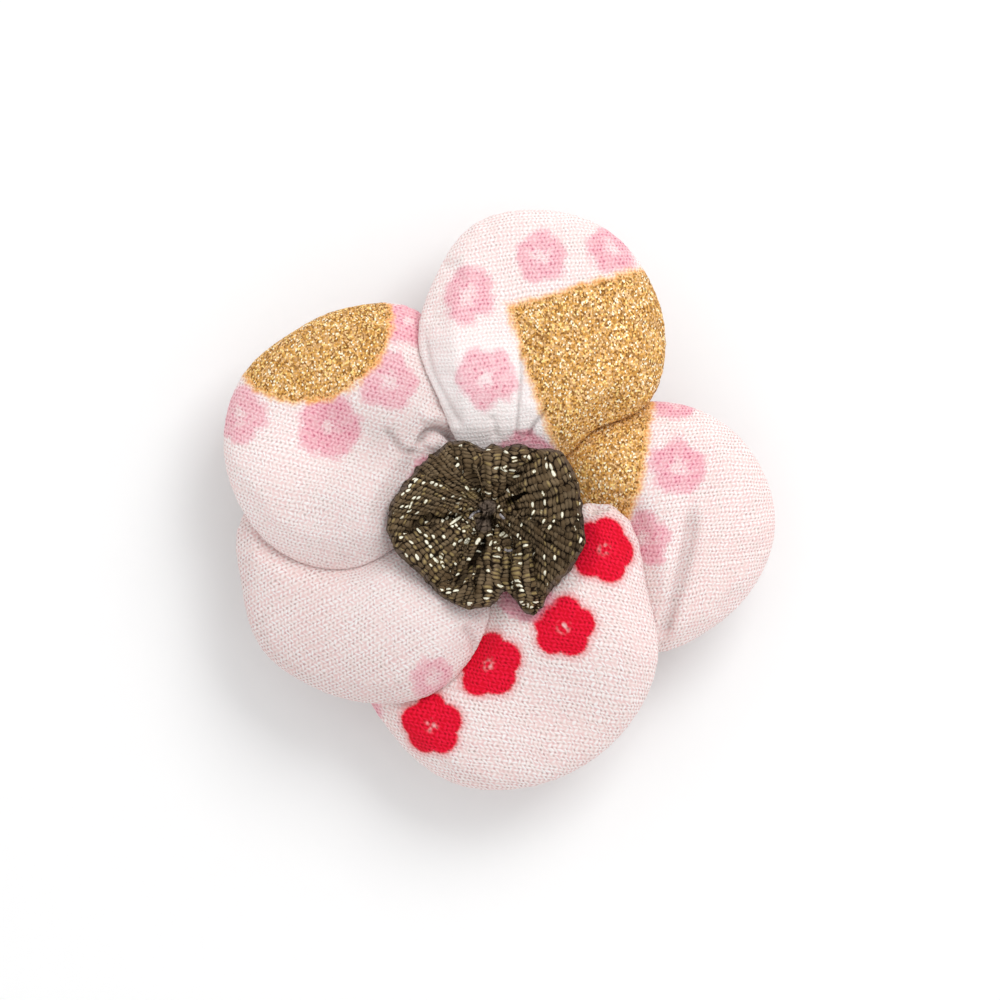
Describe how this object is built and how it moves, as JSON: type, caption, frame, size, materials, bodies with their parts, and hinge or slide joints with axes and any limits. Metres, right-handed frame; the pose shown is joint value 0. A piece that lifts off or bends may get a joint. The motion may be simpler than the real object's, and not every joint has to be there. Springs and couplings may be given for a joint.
{
  "type": "hair barrette",
  "caption": "Hair barrette with a cloth flower: overlapping padded cotton petals and a gathered glitter-knit rosette, on a plain arched metal clasp.",
  "frame": {"origin": "middle of the clasp's flat underside, on the surface that the barrette lies on", "axes": "+Z out of the front of the flower, +Y towards its top petal, +X to its right as seen from the front, along the clasp"},
  "size_m": [0.0553, 0.0582, 0.0169],
  "materials": {
    "petal_cotton": "plain-weave cotton, pale pink, printed with small five-petalled blossoms in pink and red and with gold glitter areas",
    "rosette_knit": "ribbed knit of dark bronze yarn with gold metallic thread",
    "clasp_steel": "nickel-plated sheet steel, satin"
  },
  "bodies": {
    "root": {"petal_right": "petal_cotton", "petal_bottom": "petal_cotton", "petal_lower_left": "petal_cotton", "petal_left": "petal_cotton", "petal_top": "petal_cotton", "rosette": "rosette_knit", "clasp": "clasp_steel"}
  },
  "joints": []
}
